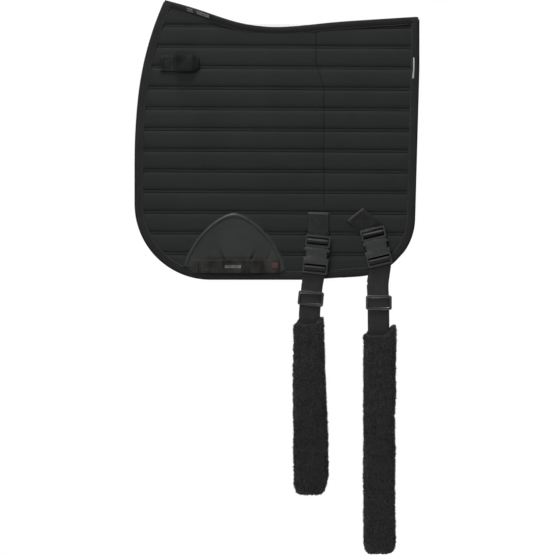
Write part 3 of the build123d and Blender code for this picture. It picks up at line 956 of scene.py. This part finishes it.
for source, target in (
    (pile_in.outputs["Geometry"], pile_spread.inputs["Mesh"]),
    (pile_in.outputs["Tufts per square metre"], pile_spread.inputs["Density"]),
    (pile_in.outputs["Seed"], pile_spread.inputs["Seed"]),
    (pile_in.outputs["Seed"], pile_lean.inputs["Seed"]),
    (pile_in.outputs["Seed"], pile_size.inputs["Seed"]),
    (pile_spread.outputs["Rotation"], pile_turn.inputs["Rotation"]),
    (pile_lean.outputs[0], pile_turn.inputs["Rotate By"]),
    (pile_in.outputs["Tuft length"], pile_scale.inputs[0]),
    (pile_size.outputs[1], pile_scale.inputs[1]),
    (pile_spread.outputs["Points"], pile_place.inputs["Points"]),
    (pile_tuft.outputs["Mesh"], pile_place.inputs["Instance"]),
    (pile_turn.outputs["Rotation"], pile_place.inputs["Rotation"]),
    (pile_scale.outputs[0], pile_place.inputs["Scale"]),
    (pile_place.outputs["Instances"], pile_real.inputs["Geometry"]),
    (pile_real.outputs["Geometry"], pile_soft.inputs["Geometry"]),
    (pile_soft.outputs["Geometry"], pile_set.inputs["Geometry"]),
    (pile_in.outputs["Pile"], pile_set.inputs["Material"]),
    (pile_set.outputs["Geometry"], pile_out.inputs["Geometry"]),
):
    pile_tree.links.new(source, target)


def ring_noise(seed, rows, cols, cell):
    """Smooth noise that meets itself round a ring."""
    spare = 8
    wide = smooth_noise(seed, (rows, cols + spare), cell)
    fade = np.linspace(0, 1, spare)
    wide[:, :spare] = wide[:, :spare] * fade + wide[:, cols:] * (1 - fade)
    return wide[:, :cols]


def fleece_sleeve(name, centre_x, top, bottom, left, right, mouth, seed):
    """A U-shaped sleeve. left and right give its half widths at heights, mouth its rim's heights."""
    fold = bottom + fleece_out + fleece_half_t
    straight = np.linspace(top, fold, int((top - fold) / 0.0023))
    arc = np.linspace(0, math.pi, 30)[1:-1]
    middle = [(-fleece_out, z, -1.0, 0.0) for z in straight]
    middle += [
        (-fleece_out * math.cos(t), fold - fleece_out * math.sin(t), -math.cos(t), -math.sin(t))
        for t in arc
    ]
    middle += [(fleece_out, z, 1.0, 0.0) for z in straight[::-1]]
    rows = len(middle)
    angle = np.linspace(0, 2 * math.pi, fleece_cols, endpoint=False)
    c, s = np.cos(angle), np.sin(angle)
    flat_x = np.sign(c) * abs(c) ** 0.55
    flat_t = np.sign(s) * abs(s) ** 0.62
    to_side = c ** 4 / (c ** 4 + s ** 4)
    rim_z = np.where(s > 0, mouth["front"], mouth["back"]) * (1 - to_side)
    rim_z = rim_z + np.where(c > 0, mouth["right"], mouth["left"]) * to_side
    fine = ring_noise(seed, rows, fleece_cols, (2.2, 2.0))
    lump = ring_noise(seed + 1, rows, fleece_cols, (9, 6))
    slow = ring_noise(seed + 2, rows, fleece_cols, (30, 20))
    curl = ring_noise(seed + 5, rows, fleece_cols, (3.6, 9))
    points = []
    for i, (y, z, ny, nz) in enumerate(middle):
        half_left = np.interp(z, *left)
        half_right = np.interp(z, *right)
        pinch = 1 - 0.10 * max(0.0, -nz) ** 5
        x = np.where(flat_x > 0, half_right, half_left) * flat_x * pinch
        t = fleece_half_t * flat_t
        swell = 0.0009 * fine[i] + 0.0012 * lump[i] + 0.0008 * slow[i] + 0.0011 * curl[i] * abs(c) ** 3
        x = x + swell * c
        t = t + swell * s
        down = (top - z) / 0.045
        level = z + (rim_z - top) * max(0.0, 1 - down) ** 1.5 if nz == 0 else z
        points += list(np.stack([
            centre_x + x, y + t * ny, np.broadcast_to(level, x.shape) + t * nz,
        ], 1))
    lip = ((0.97, 0.0012), (0.88, 0.0020), (0.74, 0.0004), (0.55, -0.004), (0.30, -0.008), (0.06, -0.009))
    near_rim = np.array(points[:fleece_cols])
    off_rim = np.array(points[-fleece_cols:])
    lumps = ring_noise(seed + 3, len(lip), fleece_cols, (2, 3))
    start, end = [], []
    for k, (scale, rise) in enumerate(lip):
        for rim_points, store in ((near_rim, start), (off_rim, end)):
            centre = rim_points.mean(0)
            ring_points = centre + (rim_points - centre) * [scale, scale, 1]
            ring_points[:, 2] = rim_points[:, 2] * scale + centre[2] * (1 - scale) + rise + 0.0008 * lumps[k]
            store.append(ring_points)
    every = np.concatenate([*start[::-1], np.array(points), *end])
    count = len(every) // fleece_cols
    faces = grid_faces(count, fleece_cols, wrap=True)
    faces += [tuple(range(fleece_cols)), tuple(range((count - 1) * fleece_cols, count * fleece_cols))]
    return piece(name, every, faces, pile)


fleeces = {
    "a": dict(centre_x=0.0635, top=-0.560, bottom=-0.8925,
              left=((-0.90, -0.87, -0.70, -0.60, -0.55), (0.0285, 0.0302, 0.0312, 0.0305, 0.0300)),
              right=((-0.90, -0.88, -0.855, -0.78, -0.66, -0.57),
                     (0.0262, 0.0296, 0.0352, 0.0338, 0.0285, 0.0258)),
              mouth=dict(front=-0.566, back=-0.552, left=-0.566, right=-0.552), seed=51),
    "b": dict(centre_x=0.1964, top=-0.584, bottom=-1.006,
              left=((-1.01, -0.98, -0.80, -0.60, -0.57), (0.0270, 0.0284, 0.0282, 0.0280, 0.0292)),
              right=((-1.01, -0.98, -0.90, -0.80, -0.74, -0.70, -0.62, -0.57),
                     (0.0302, 0.0314, 0.0300, 0.0302, 0.0292, 0.0322, 0.0318, 0.0326)),
              mouth=dict(front=-0.588, back=-0.577, left=-0.586, right=-0.567), seed=61),
}
for letter, size in fleeces.items():
    sleeve = fleece_sleeve(f"fleece_sleeve_{letter}", **size)
    outer = bmesh.new()
    outer.from_mesh(sleeve.data)
    inside = [face for face in outer.faces if abs(face.calc_center_median().y) < 0.0115
              and face.calc_center_median().z > size["bottom"] + 0.015]
    bmesh.ops.delete(outer, geom=inside, context="FACES")
    outer_mesh = bpy.data.meshes.new(f"fleece_outer_{letter}")
    outer.to_mesh(outer_mesh)
    outer.free()
    tufts = grown(f"fleece_pile_{letter}", outer_mesh, pile_tree, (
        (pile_many, 110000.0), (pile_tall, 0.0028), (pile_seed, size["seed"]), (pile_coat, pile.material),
    ))
    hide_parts(f"near_fleece_{letter}", f"off_fleece_{letter}")
    for thing in (sleeve, tufts):
        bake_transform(thing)

# ---- Girth patch: a lightly padded satin arch with a piped edge, where the girth rubs ----
# It is sewn to the shell just above the hem. It wrinkles a little over the strap.
patch_x = -0.083
patch_half_w = 0.098
patch_foot = -0.4615
patch_h = 0.112
patch_square = 1.55      # how full the arch's shoulders are; 2 would be an ellipse
satin = Finish("black_satin", roughness=0.6, specular_ior_level=0.06, sheen_weight=0.15, sheen_roughness=0.4)
satin_x, satin_y, satin_z = satin.split(satin.place())
satin_cloud = satin.noise(16, 4)
satin_thread = (satin_z + satin_x * 0.05).wave(0.0008)
satin_worn = satin_cloud * 1.3 + satin_thread * 0.2 - 0.25
satin.colour(satin_worn, (0.0150, 0.0163, 0.0158), (0.0290, 0.0309, 0.0301))
satin.feed("Roughness", satin_cloud * 0.15 + 0.45)
satin.bump(satin_thread * 0.6 + satin_cloud * 0.3, 0.25, 0.0003)


def arch_top(x):
    share = np.clip(abs(x - patch_x) / patch_half_w, 0, 1)
    return patch_foot + patch_h * (1 - share ** patch_square) ** (1 / patch_square)


patch_cols, patch_rows = 120, 64
patch_u = np.linspace(-1, 1, patch_cols)
patch_col_x = patch_x + patch_half_w * 0.985 * np.sin(patch_u * math.pi / 2)
patch_low = crossings(["near_girth_patch"], 0, patch_col_x, 2)[0]
patch_low = np.where(np.isnan(patch_low), patch_foot, patch_low) - 0.001
patch_v = np.linspace(0, 1, patch_rows)[:, None]
patch_grid_x = np.broadcast_to(patch_col_x, (patch_rows, patch_cols))
patch_grid_z = patch_low + (np.maximum(arch_top(patch_col_x), patch_low + 0.002) - patch_low) * patch_v
patch_rim = np.minimum(np.minimum(patch_v, 1 - patch_v) * 0.1, 0.05 * (1 - abs(patch_u)))
patch_puff = 0.0014 * np.clip(patch_rim / 0.012, 0, 1) ** 0.6
patch_puff += 0.0005 * smooth_noise(71, (patch_rows, patch_cols), (12, 16)) * np.clip(patch_rim / 0.01, 0, 1)
patch_creases = ((-0.103, -0.40, 0.0034), (-0.049, 0.46, 0.0019), (-0.018, 0.38, 0.0012))
for crease_at, crease_lean, crease_deep in patch_creases:
    up_patch = patch_grid_z + 0.439
    off_line = patch_grid_x - (crease_at + crease_lean * up_patch)
    reach = np.exp(-np.clip(up_patch / 0.016, 0, 9) ** 2) * (up_patch > -0.03)
    patch_puff -= crease_deep * np.exp(-(off_line / 0.0022) ** 2) * reach
    raised = off_line - math.copysign(0.0055, -crease_lean)
    patch_puff += 0.4 * crease_deep * np.exp(-(raised / 0.004) ** 2) * reach
patch_front = np.stack([patch_grid_x, -(0.0168 + patch_puff), patch_grid_z], -1)
patch_back = np.stack([patch_grid_x, np.full(patch_grid_x.shape, -0.0152), patch_grid_z], -1)
near_patch = piece("near_patch", *two_layers(patch_front, patch_back, patch_rows, patch_cols), satin)

pipe_turn = np.linspace(-1, 1, 150)
pipe_x = patch_x + (patch_half_w - 0.0036) * np.sin(pipe_turn * math.pi / 2 * 0.985)
pipe_share = np.clip(abs(pipe_x - patch_x) / (patch_half_w - 0.0036), 0, 1)
pipe_z = patch_foot + (patch_h - 0.0036) * (1 - pipe_share ** patch_square) ** (1 / patch_square)
pipe_low = np.interp(pipe_x, patch_col_x, patch_low)
pipe_kept = pipe_z > pipe_low - 0.001
pipe_path = even_path(np.stack([pipe_x, pipe_z], 1)[pipe_kept], 0.003, 12)
near_piping = tape(
    "near_piping", [(x, -0.0172, z) for x, z in pipe_path], -sideways(np.gradient(pipe_path, axis=0)),
    0.0072, 0.0044, satin, waves=0.0002, section=round_section,
)
pipe_in = inward_normals(pipe_path[::-1])[::-1]
near_patch_seam = sew("near_patch_seam", [[
    (x - pipe_in[i, 0] * 0.0052, -0.0176, z - pipe_in[i, 1] * 0.0052) for i, (x, z) in enumerate(pipe_path)
]])

# ---- Girth strap: a soft strap sewn at its front end, closed on a hook pad at its rear ----
# The girth passes behind it. It carries a plain woven bar and a plain red tab.


def brushed_cloth(name, low, high):
    """Brushed hook-and-loop cloth, with painted light and shade in soft bands across its length."""
    finish = Finish(name, roughness=0.8, specular_ior_level=0.02, sheen_weight=0.05)
    x, y, z = finish.split(finish.place())
    stretched = finish.node("ShaderNodeCombineXYZ", inputs={"X": x * 45, "Y": y * 0, "Z": z * 22})
    band = finish.noise(1.0, 2, vector=stretched)
    fleck = finish.noise(700, 2)
    # Painted light and shade: the bands stand in for light and shade on the cloth's waves; the flecks are
    # its own grain.
    finish.colour(band * 2.2 + fleck * 0.8 - 1.0, low, high)
    finish.bump(fleck * 0.7 + z.wave(0.0010) * 0.4, 0.35, 0.0004)
    return finish


strap_cloth = brushed_cloth("black_strap_cloth", (0.0045, 0.0043, 0.0038), (0.0340, 0.0330, 0.0302))
keeper_cloth = brushed_cloth("black_keeper_cloth", (0.0016, 0.0016, 0.0016), (0.0165, 0.0162, 0.0163))

strap_thread = Finish(
    "brown_grey_thread", roughness=0.7, specular_ior_level=0.05, base_color=(0.050, 0.046, 0.036, 1),
)

strap_mid_z = -0.452
strap_w = 0.026
strap_t = 0.0016
strap_run = even_path([
    (-0.1500, 0.0180), (-0.1440, 0.0180), (-0.1220, 0.0246),
    (-0.0430, 0.0246), (-0.0210, 0.0193), (0.0050, 0.0193),
], 0.002, 4)
strap_wave = np.interp(strap_run[:, 0], [-0.13, -0.118, -0.106, -0.092, -0.078, -0.062, -0.05, -0.036],
                       [0, 0.0004, -0.0004, 0.0002, -0.0001, 0.0004, -0.0004, 0])
near_strap = tape(
    "near_strap", [(x, -y - w, strap_mid_z) for (x, y), w in zip(strap_run, strap_wave)], (0, 0, 1),
    strap_w, strap_t, strap_cloth, waves=0.0003,
)


def level_strip(name, ends, out, level, width, thick, finish, waves=0.0):
    """A short flat piece that lies level on the pad, between two places along it."""
    path = even_path([(ends[0], -out, level), (ends[1], -out, level)], 0.002, 0)
    return tape(name, path, (0, 0, 1), width, thick, finish, waves=waves)

near_strap_foot = level_strip(
    "near_strap_foot", (-0.1620, -0.1502), 0.0180, strap_mid_z, strap_w, strap_t, strap_cloth, waves=0.0002,
)
near_hook_pad = level_strip(
    "near_hook_pad", (-0.0210, 0.0050), 0.0177, strap_mid_z, strap_w, 0.0010, strap_cloth,
)
near_strap_seam = sew("near_strap_seam", boxed_cross(
    (-0.1612, strap_mid_z), (-0.1540, strap_mid_z), strap_w / 2, 0.002, 0.0189,
)[:4])
label_grey = Finish(
    "grey_embroidery", roughness=0.7, specular_ior_level=0.05, base_color=(0.34, 0.34, 0.33, 1),
)
strap_edge = [(x, -y - w - 0.0010, strap_mid_z + 0.0112) for (x, y), w in zip(strap_run, strap_wave)]
near_strap_edge_seam = sew(
    "near_strap_edge_seam", [even_path(strap_edge[6:-2], 0.002, 0)], thick=0.0009, finish=strap_thread,
)
near_strap_bar = sew(
    "near_strap_bar", [[(x, -0.0256, strap_mid_z - 0.0022), (x, -0.0256, strap_mid_z + 0.0008)]
                       for x in np.linspace(-0.0995, -0.0700, 14)],
    pitch=0.0030, stitch=0.0036, thick=0.0009, finish=label_grey,
)
label_red = Finish(
    "red_woven_tab", roughness=0.75, specular_ior_level=0.05, base_color=(0.056, 0.026, 0.028, 1),
)
near_red_tab = level_strip("near_red_tab", (-0.0105, 0.0028), 0.0203, -0.4505, 0.0112, 0.0007, label_red)

# ---- Keeper: a small hook-and-loop flap at the withers for the saddle's strap ----
# Its front third is sewn down. The rest folds over and bulges round the strap's loop.
keeper_z = -0.061
keeper_h = 0.032
keeper_base_path = even_path([(-0.2235, -0.0166, keeper_z), (-0.1495, -0.0166, keeper_z)], 0.002, 0)
keeper_base_wide = np.interp(
    np.linspace(0, 1, len(keeper_base_path)),
    [0, 0.02, 0.05, 0.93, 0.98, 1], [0.027, 0.030, 0.032, 0.032, 0.029, 0.024],
)
near_keeper_base = tape(
    "near_keeper_base", keeper_base_path, (0, 0, 1), keeper_base_wide, 0.0013, keeper_cloth, waves=0.0002,
)
near_keeper_foot = level_strip(
    "near_keeper_foot", (-0.2240, -0.1994), 0.0180, keeper_z, keeper_h, 0.0017, keeper_cloth, waves=0.0004,
)
keeper_run = even_path([
    (-0.1990, 0.0180), (-0.1970, 0.0180), (-0.1900, 0.0236),
    (-0.1640, 0.0238), (-0.1560, 0.0183), (-0.1490, 0.0183),
], 0.0012, 3)
keeper_share = np.linspace(0, 1, len(keeper_run))
keeper_wide = keeper_h * np.interp(
    keeper_share, [0, 0.04, 0.8, 0.9, 0.96, 1.0], [0.96, 1.0, 1.0, 0.93, 0.80, 0.58],
)
near_keeper_flap = tape(
    "near_keeper_flap", [(x, -y, keeper_z) for x, y in keeper_run], (0, 0, 1), keeper_wide, strap_t,
    keeper_cloth, waves=0.0009,
)
near_keeper_seam = sew("near_keeper_seam", boxed_cross(
    (-0.2225, keeper_z), (-0.2010, keeper_z), keeper_h / 2, 0.003, 0.0190,
))

for near_thing, slot_name, body, nodes in (
    (near_patch, "patch_fabric", "flap", ["girth_patch"]),
    (near_piping, "patch_fabric", "flap", []),
    (near_patch_seam, "patch_fabric", "flap", []),
    (near_strap_foot, "strap_fabric", "flap", ["girth_anchor"]),
    (near_hook_pad, "strap_fabric", "flap", []),
    (near_strap_seam, "strap_fabric", "flap", []),
    (near_strap, "strap_fabric", "girth_strap", ["girth_strap"]),
    (near_strap_edge_seam, "strap_fabric", "girth_strap", []),
    (near_strap_bar, "strap_fabric", "girth_strap", []),
    (near_red_tab, "strap_fabric", "girth_strap", []),
    (near_keeper_base, "strap_fabric", "flap", ["keeper_base"]),
    (near_keeper_foot, "strap_fabric", "flap", []),
    (near_keeper_seam, "strap_fabric", "flap", []),
    (near_keeper_flap, "strap_fabric", "keeper", ["keeper_flap"]),
):
    off_thing = off_copy(near_thing, near_thing.name.replace("near", "off"))
    for side, thing in (("near", near_thing), ("off", off_thing)):
        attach(thing, f"{side}_{body}")
        if nodes:
            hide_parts(*[f"{side}_{node}" for node in nodes])

# ---- Sewn-in labels: a silver edge tab at the rear, a plain woven patch on the spine ----
# Both are small and carry no words.
silver = Finish("silver_tab", roughness=0.35, specular_ior_level=0.6, base_color=(0.34, 0.34, 0.34, 1))
silver_path = even_path([
    (0.2634, -0.0172, -0.0505), (0.2636, -0.0174, -0.070), (0.2618, -0.0172, -0.0905),
], 0.002, 2)
silver_tab = tape("silver_tab", silver_path, (1, 0, 0), np.interp(
    np.linspace(0, 1, len(silver_path)), [0, 0.1, 0.5, 0.9, 1], [0.0016, 0.0024, 0.0024, 0.0032, 0.0022],
), 0.0012, silver)
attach(silver_tab, "near_flap")
woven_grey = Finish(
    "dark_woven_patch", roughness=0.7, specular_ior_level=0.05, base_color=(0.012, 0.012, 0.012, 1),
)
spine_patch_x = np.linspace(-0.175, -0.128, 24)
spine_patch_way = np.stack([np.ones(24), np.gradient(spine_line(spine_patch_x), spine_patch_x)], 1)
spine_patch_path = [(x, -0.0175, spine_line(x) - 0.0078) for x in spine_patch_x]
spine_patch = tape("spine_patch", spine_patch_path, sideways(spine_patch_way), 0.0085, 0.0008, woven_grey)
spine_patch_marks = sew("spine_patch_marks", [
    [(x, -0.0180, spine_line(x) - 0.0060), (x + 0.0008, -0.0180, spine_line(x) - 0.0096)]
    for x in [*np.linspace(-0.172, -0.164, 4), *np.linspace(-0.154, -0.132, 11)]
], pitch=0.0036, stitch=0.0034, thick=0.0008, finish=label_grey)
for thing in (spine_patch, spine_patch_marks):
    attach(thing, "yoke")

# ---- Moulded buckles and tri-glides: satin acetal with softened edges ----
# Each moulding keeps the CAD piece's shape; its edges are rounded to catch the light.
acetal = Finish(
    "satin_acetal", roughness=0.3, ior=1.5, specular_ior_level=0.8, coat_weight=1.0, coat_roughness=0.10,
)
acetal_cloud = acetal.noise(120, 3)
acetal_grain = acetal.noise(500, 2)
acetal.colour(acetal_cloud, (0.006, 0.0068, 0.0066), (0.013, 0.0140, 0.0138))
acetal.feed("Roughness", acetal_cloud * 0.12 + 0.18)
acetal.bump(acetal_grain, 0.1, 0.00004)


def moulding(node, round_edge):
    """A copy of a CAD piece, merged, with rounded edges, that stands for it."""
    work = bmesh.new()
    work.from_mesh(frame["nodes"][node].data)
    bmesh.ops.remove_doubles(work, verts=work.verts, dist=1e-6)
    bmesh.ops.dissolve_limit(work, angle_limit=math.radians(3), verts=work.verts, edges=work.edges)
    mesh = bpy.data.meshes.new(node + "_moulding")
    work.to_mesh(mesh)
    work.free()
    mesh.materials.clear()
    mesh.materials.append(acetal.material)
    thing = bpy.data.objects.new(node + "_moulding", mesh)
    scene.collection.objects.link(thing)
    bevel = thing.modifiers.new("rounded", "BEVEL")
    bevel.width = round_edge
    bevel.segments = 2
    bevel.limit_method = "ANGLE"
    bevel.angle_limit = math.radians(32)
    bevel.harden_normals = False
    bevel.use_clamp_overlap = True
    final = bpy.data.meshes.new_from_object(thing.evaluated_get(bpy.context.evaluated_depsgraph_get()))
    thing.modifiers.clear()
    thing.data = final
    final.shade_smooth()
    final.set_sharp_from_angle(angle=math.radians(38))
    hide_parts(node)
    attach(thing, body_of_node[node])
    return thing


for side in ("near", "off"):
    for letter in ("a", "b"):
        for part, round_edge in (("male", 0.0015), ("female", 0.0015), ("prong_front", 0.0006),
                                 ("prong_rear", 0.0006), ("tri_glide", 0.0013)):
            moulding(f"{side}_{part}_{letter}", round_edge)
